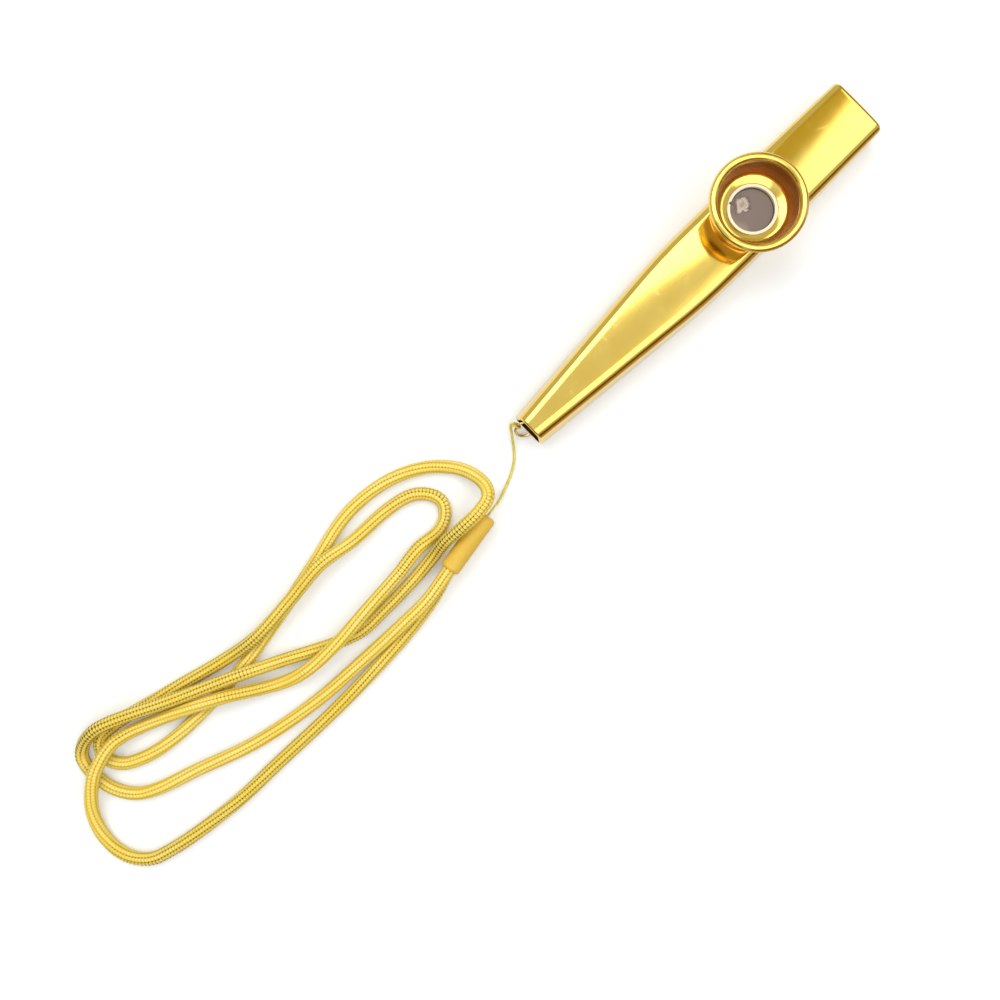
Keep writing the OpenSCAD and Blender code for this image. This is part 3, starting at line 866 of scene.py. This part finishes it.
def thread_ridge_tree(metal):
    """Winds one thread ridge round the collar."""
    tree, put, given = new_tree("thread ridge", ("Radius", "Start", "Height", "Turns", "Depth"))
    coil = put("GeometryNodeCurveSpiral", {
        "Resolution": 96, "Rotations": given["Turns"], "Start Radius": given["Radius"],
        "End Radius": given["Radius"], "Height": given["Height"],
    })
    raised = put("GeometryNodeTransform", {
        "Geometry": coil, "Translation": put("ShaderNodeCombineXYZ", {"Z": given["Start"]}),
    })
    section = put("GeometryNodeCurvePrimitiveCircle", {"Resolution": 4, "Radius": given["Depth"]})
    ridge = put("GeometryNodeCurveToMesh", {
        "Curve": raised, "Profile Curve": section, "Fill Caps": True,
    })
    both = put("GeometryNodeJoinGeometry")
    for geometry in (ridge.outputs[0], given["Geometry"]):
        tree.links.new(geometry, both.inputs[0])
    real = put("GeometryNodeRealizeInstances", {"Geometry": both})
    dressed = put("GeometryNodeSetMaterial", {"Geometry": real, "Material": metal})
    put("NodeGroupOutput", {0: dressed})
    return tree


collar_gold = made_of("gold anodised turned aluminium", gold_anodised, 2, 0.4)
thread_root = THREAD_R - THREAD_DEPTH
tube_under = TUBE_TOP - WALL
collar_blank = turned("collar_blank", filleted([
    (COLLAR_BORE_R, STAKE_Z), (STAKE_R, STAKE_Z), (STAKE_R, tube_under),
    (SPIGOT_R, tube_under), (SPIGOT_R, TUBE_TOP), (THREAD_R, TUBE_TOP),
    (THREAD_R, TUBE_TOP + 0.2 * MM), (thread_root, TUBE_TOP + 0.3 * MM),
    (thread_root, THREAD_TOP), (RECESS_R, THREAD_TOP), (RECESS_R, SEAT_Z),
    (COLLAR_BORE_R, SEAT_Z),
], COLLAR_FILLET, 2), collar_gold)
thread_height = THREAD_TOP - TUBE_TOP - 0.6 * MM
collar = grown(collar_blank, "turned_collar", thread_ridge_tree(collar_gold), {
    "Radius": thread_root, "Start": TUBE_TOP + 0.35 * MM, "Height": thread_height,
    "Turns": thread_height / THREAD_PITCH, "Depth": THREAD_DEPTH,
})
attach(collar, "kazoo_body")
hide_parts("turret_collar")

# Membrane film
# A disc of thin greyish plastic film, slightly slack, with a few soft creases and
# a smear at one side. It lies in the collar's recess.
FILM_R = 7.6 * MM
FILM_TOP = 14.1 * MM
FILM_SWELL = 0.035 * MM
SMEAR_AT = (1.2 * MM, 5 * MM, 0)
SMEAR_WANDER = 4 * MM
GLUE_FROM_R = 5.48 * MM
GLUE_TO_R = 5.62 * MM


def from_axis(put, spot):
    """A point's level distance from the turret's axis, which stands on the origin."""
    level = put("ShaderNodeVectorMath", {0: spot, 1: (1, 1, 0)}, operation="MULTIPLY")
    return put("ShaderNodeVectorMath", {0: level}, operation="LENGTH").outputs["Value"]


def membrane_plastic(put):
    """Smoky plastic film over the tube's dark inside: glossy, with a milky smear, and a
    dark line of painted shade where it meets its ring."""
    coords = put("ShaderNodeTexCoord").outputs["Object"]
    wander = put("ShaderNodeTexNoise", {
        "Vector": coords, "Scale": 420.0, "Detail": 3.0, "Distortion": 0.6,
    })
    pushed = put("ShaderNodeVectorMath", {
        0: wander.outputs["Color"], 1: (SMEAR_WANDER, SMEAR_WANDER, 0), 2: coords,
    }, operation="MULTIPLY_ADD")
    away = put("ShaderNodeVectorMath", {0: pushed, 1: SMEAR_AT}, operation="SUBTRACT")
    smear = put("ShaderNodeMapRange", {
        "Value": from_axis(put, away), "From Min": 0.5 * MM, "From Max": 2.6 * MM,
        "To Min": 1.0, "To Max": 0.0,
    })
    colour = put("ShaderNodeValToRGB", {"Fac": smear}, (
        (0, "#75655A"), (0.22, "#5C4C42"), (0.5, "#C2B4A8"), (1, "#9A8C80"),
    ))
    # Elsewhere the film drifts between a cooler grey and a paler, warmer brown.
    drift = put("ShaderNodeTexNoise", {"Vector": coords, "Scale": 110.0, "Detail": 1.0})
    warm = put("ShaderNodeMapRange", {
        "Value": drift, "From Min": 0.45, "From Max": 0.65, "To Max": 0.55,
    })
    drifted = put("ShaderNodeMix", {
        "Factor": warm, "A": colour, "B": linear("#B09884"),
    }, data_type="RGBA")
    # Painted shade: a dark line round the film's edge, in the gap under its ring.
    glue = put("ShaderNodeMapRange", {
        "Value": from_axis(put, coords), "From Min": GLUE_FROM_R, "From Max": GLUE_TO_R,
    })
    return {
        "Base Color": put("ShaderNodeMix", {
            "Factor": glue, "A": drifted, "B": linear("#1C1410"),
        }, data_type="RGBA"),
        "Normal": put("ShaderNodeBump", {
            "Height": wander, "Strength": 0.35, "Distance": 0.12 * MM,
        }),
        "Roughness": 0.28, "IOR": 1.5,
    }


film_outline = [(0, SEAT_Z), (FILM_R, SEAT_Z), (FILM_R, FILM_TOP)]
film_outline += [
    (FILM_R * k / 12, FILM_TOP - FILM_SWELL * (1 - (k / 12) ** 2)) for k in range(9, -1, -1)
]
smoky_film = made_of("smoky membrane film", membrane_plastic)
film = turned("film_disc", [Vector(p) for p in film_outline], smoky_film)
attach(film, "membrane_unit")
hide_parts("membrane_film")

# Membrane ring
# A moulded ring of cream plastic that presses the film on its seat. Its inner edge
# has a small sprue notch.
CLAMP_IN_R = 5.75 * MM
CLAMP_TOP = 15.4 * MM
CLAMP_FILLET = 0.12 * MM
NOTCH_AT = radians(120)
NOTCH_R = 0.4 * MM

# Cream polypropylene is smooth, softly glossy and a little waxy.
cream_plastic = made_of(
    "cream polypropylene", drifting, 500.0, 2.0, ((0, "#F6ECC4"), (1, "#FFF9E2")),
    {"Roughness": 0.35},
)
clamp_blank = turned("clamp_ring", filleted([
    (CLAMP_IN_R, FILM_TOP), (FILM_R, FILM_TOP), (FILM_R, CLAMP_TOP), (CLAMP_IN_R, CLAMP_TOP),
], CLAMP_FILLET), cream_plastic)
notch_at = Vector((cos(NOTCH_AT), sin(NOTCH_AT), 0)) * (CLAMP_IN_R + 0.05 * MM)
clamp = drilled(clamp_blank, [
    rod("notch", notch_at + Vector((0, 0, 13 * MM)), notch_at + Vector((0, 0, 16 * MM)), NOTCH_R, 16)
])
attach(clamp, "membrane_unit")
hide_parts("membrane_ring")

# Turret cap
# A turned and spun aluminium cup, anodised gold. Its skirt screws over the collar,
# its floor has the eye over the membrane, and its rim is rolled over outwards.
# Fine tool lines run round the inside of the cup.
SKIRT_IN_R = 8.25 * MM
SKIRT_R = 9.4 * MM
SKIRT_Z = 12.9 * MM
EYE_R = 6.5 * MM
CAP_FLOOR_TOP = 16.2 * MM
CUP_R = 8.6 * MM
CUP_WALL = 0.8 * MM
CUP_FILLET = 0.5 * MM
RIM_R = 12.53 * MM
ROLL_R = 1.1 * MM
ROLL_Z = 21.9 * MM
CUP_MOUTH_R = RIM_R - 2 * ROLL_R
TOOL_LINES = 9
TOOL_DEPTH = 0.05 * MM
TOOL_FROM_Z = ROLL_Z - 0.4 * MM
TOOL_PITCH = (TOOL_FROM_Z - CAP_FLOOR_TOP - CUP_FILLET) / TOOL_LINES


def spun_gold(put):
    """Gold with painted shade on the cup's inside wall, which is spun and left
    unpolished, and half as much painted shade outside below the rim."""
    gold = gold_anodised(put, 2, 0.4, (0.1, 0.2))
    coords = put("ShaderNodeTexCoord").outputs["Object"]
    height = put("ShaderNodeSeparateXYZ", {0: coords}).outputs["Z"]
    # The wall leans out with height, so its radius is taken less its lean.
    lean = (CUP_R - CUP_MOUTH_R) / (ROLL_Z - CAP_FLOOR_TOP)
    wall_r = CUP_R + CAP_FLOOR_TOP * lean
    upright = put("ShaderNodeMath", {
        0: height, 1: lean, 2: from_axis(put, coords),
    }, operation="MULTIPLY_ADD")
    inner, above, below, outer = (
        put("ShaderNodeMapRange", {
            "Value": value, "From Min": start, "From Max": end, "To Min": first, "To Max": last,
        })
        for value, start, end, first, last in (
            (upright, wall_r + 0.3 * MM, wall_r + 0.5 * MM, 1.0, 0.0),
            (height, CAP_FLOOR_TOP + 0.2 * MM, CAP_FLOOR_TOP + 0.6 * MM, 0.0, 1.0),
            (height, ROLL_Z - 0.5 * MM, ROLL_Z - 0.1 * MM, 1.0, 0.0),
            (height, ROLL_Z - 2.2 * MM, ROLL_Z - 1.4 * MM, 0.5, 0.0),
        )
    )
    band = put("ShaderNodeMath", {0: above, 1: below}, operation="MULTIPLY")
    share = put("ShaderNodeMix", {"Factor": inner, "A": outer, "B": band})
    # Painted shade: a darker brown gold on the cup's inside wall, and half of it outside below the
    # rim.
    deep = put("ShaderNodeMix", {
        "Factor": share, "A": gold["Base Color"], "B": linear("#B87420"),
    }, data_type="RGBA")
    return {**gold, "Base Color": deep}


cap_outline = [
    (SKIRT_IN_R + 0.1 * MM, SKIRT_Z), (SKIRT_R - 0.2 * MM, SKIRT_Z),
    (SKIRT_R - 0.06 * MM, SKIRT_Z + 0.06 * MM), (SKIRT_R, SKIRT_Z + 0.2 * MM),
    (SKIRT_R, SKIRT_Z + 0.5 * MM), (SKIRT_R, CAP_FLOOR_TOP - 0.5 * MM),
]
# The flare outside, from the skirt up to the roll.
for k in range(1, 9):
    s = k / 8
    cap_outline.append((
        SKIRT_R + (CUP_MOUTH_R + CUP_WALL - SKIRT_R) * (0.75 * s + 0.25 * s * s),
        CAP_FLOOR_TOP + (ROLL_Z - 0.9 * ROLL_R - CAP_FLOOR_TOP) * s,
    ))
# The rolled rim.
for k in range(17):
    a = radians(-70 + 250 * k / 16)
    cap_outline.append((RIM_R - ROLL_R + ROLL_R * cos(a), ROLL_Z + ROLL_R * sin(a)))
# The cup's inside wall, down over its tool lines.
for k in range(TOOL_LINES):
    for part, depth in ((0.15, 0), (0.5, 1), (0.85, 0)):
        z = TOOL_FROM_Z - (k + part) * TOOL_PITCH
        r = CUP_R + (CUP_MOUTH_R - CUP_R) * (z - CAP_FLOOR_TOP) / (ROLL_Z - CAP_FLOOR_TOP)
        cap_outline.append((r + depth * TOOL_DEPTH, z))
# The fillet into the floor.
for k in range(7):
    a = radians(90 * k / 6)
    cap_outline.append((
        CUP_R + 0.08 * MM - CUP_FILLET * (1 - cos(a)),
        CAP_FLOOR_TOP + CUP_FILLET * (1 - sin(a)),
    ))
# The floor, its eye, and the skirt's inside.
cap_outline += [
    (CUP_R - 0.6 * MM, CAP_FLOOR_TOP - 0.05 * MM), (CUP_R - 0.8 * MM, CAP_FLOOR_TOP - 0.1 * MM),
    (EYE_R + 0.15 * MM, CLAMP_TOP + 0.27 * MM), (EYE_R + 0.04 * MM, CLAMP_TOP + 0.2 * MM),
    (EYE_R, CLAMP_TOP + 0.08 * MM),
    (EYE_R + 0.1 * MM, CLAMP_TOP), (SKIRT_IN_R - 0.1 * MM, CLAMP_TOP),
    (SKIRT_IN_R, CLAMP_TOP - 0.1 * MM), (SKIRT_IN_R, SKIRT_Z + 0.1 * MM),
]
cap_gold = made_of("gold anodised spun aluminium", spun_gold)
cap = turned("spun_cap", [Vector(p) for p in cap_outline], cap_gold)
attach(cap, "cap")
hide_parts("turret_cap")

# Studio
# A white table under three soft boxes, which leave a plain gap over the kazoo. Brown
# cards on three sides give the metal its dark bands, a tan card stands over the
# mouth, and a card that only the metal sees lies on the table.
FLOOR_HALF = 1.6
BOX_HEIGHT = 0.75
CARD_FOOT = 0.02
FLOOR_CARD_Z = 0.001
TAN_CARD_Z = 0.76


def white_paper(put):
    """Matt white paper: plain white to the camera, and it keeps the soft shadow."""
    rays = put("ShaderNodeLightPath").outputs
    mirrored = put("ShaderNodeMath", {
        0: rays["Is Glossy Ray"], 1: rays["Is Transmission Ray"],
    }, operation="MAXIMUM")
    shown = put("ShaderNodeMath", {
        0: mirrored, 1: 0.4, 2: rays["Is Camera Ray"],
    }, operation="MULTIPLY_ADD")
    return {
        "Base Color": linear("#E7EAED"), "Roughness": 0.9, "Emission Color": linear("#FFFFFF"),
        "Emission Strength": put("ShaderNodeMath", {0: shown, 1: 0.2}, operation="MULTIPLY"),
    }


def card_board(put, colour):
    """Matt coloured card."""
    return {"Base Color": linear(colour), "Roughness": 1.0}


def stage_sheet(name, corners, material, unseen_by=()):
    """A flat sheet of the studio from its four corners, and the rays that miss it."""
    mesh = bpy.data.meshes.new(name)
    mesh.from_pydata(corners, [], [(0, 1, 2, 3)])
    mesh.materials.append(material)
    sheet = placed(name, mesh)
    for rays in unseen_by:
        setattr(sheet, f"visible_{rays}", False)


def level_corners(low_x, low_y, high_x, high_y, z):
    """The four corners of a level sheet."""
    return [(low_x, low_y, z), (high_x, low_y, z), (high_x, high_y, z), (low_x, high_y, z)]


stage_sheet(
    "table", level_corners(-FLOOR_HALF, -FLOOR_HALF, FLOOR_HALF, FLOOR_HALF, 0),
    made_of("white paper table", white_paper),
)
card_brown = made_of("brown card", card_board, "#7A5420")
for card_name, (ax, ay), (bx, by), top in (
    ("lower right card", (-0.9, -0.9), (0.9, -0.9), 0.5),
    ("far end card", (0.8, -0.5), (0.8, 0.5), 0.4),
    ("near end card", (-0.8, -0.5), (-0.8, 0.4), 0.5),
):
    stage_sheet(card_name, [
        (ax, ay, CARD_FOOT), (bx, by, CARD_FOOT), (bx, by, top), (ax, ay, top)
    ], card_brown, ("camera",))
# This card stands in for the shaded table beside the kazoo: a painted reflection of shade that only
# the metal shows.
stage_sheet(
    "card on the table", level_corners(-0.3, -0.9, 0.1, -0.022, FLOOR_CARD_Z),
    made_of("dull tan card", card_board, "#A88C5C"), ("camera", "diffuse", "shadow"),
)
stage_sheet(
    "tan card over the mouth", level_corners(0.33, 0.045, 0.95, 0.5, TAN_CARD_Z),
    made_of("tan card", card_board, "#E8D468"), ("camera",),
)

# The brightness of a level soft box is what a mirror shows of it.
for box_name, (x, y), (size_x, size_y), turn, brightness in (
    ("upper left box", (0.024, 0.384), (0.75, 0.5), -24.7, 2.7),
    ("lower right box", (-0.1, -0.38), (0.75, 0.64), 0, 1.5),
    ("mouth box", (0.556, -0.143), (0.6, 0.4), 27, 1.65),
):
    lamp = bpy.data.lights.new(box_name, "AREA")
    lamp.shape = "RECTANGLE"
    lamp.size, lamp.size_y = size_x, size_y
    lamp.energy = brightness * pi * size_x * size_y
    box = placed(box_name, lamp)
    box.location = (x, y, BOX_HEIGHT)
    box.rotation_euler = (0, 0, radians(turn))

world = bpy.data.worlds.new("studio")
world.use_nodes = True
world.node_tree.nodes.clear()
sky = partial(add_node, world.node_tree)
way = sky("ShaderNodeSeparateXYZ", {0: sky("ShaderNodeTexCoord").outputs["Generated"]})
greys = ((0.86, "#CBCBCB"), (0.97, "#E1E1E1"))
sky_grey = sky("ShaderNodeValToRGB", {"Fac": way.outputs["Z"]}, greys)
sky("ShaderNodeOutputWorld", {"Surface": sky("ShaderNodeBackground", {"Color": sky_grey})})
bpy.context.scene.world = world
bpy.context.scene.view_settings.view_transform = "Standard"
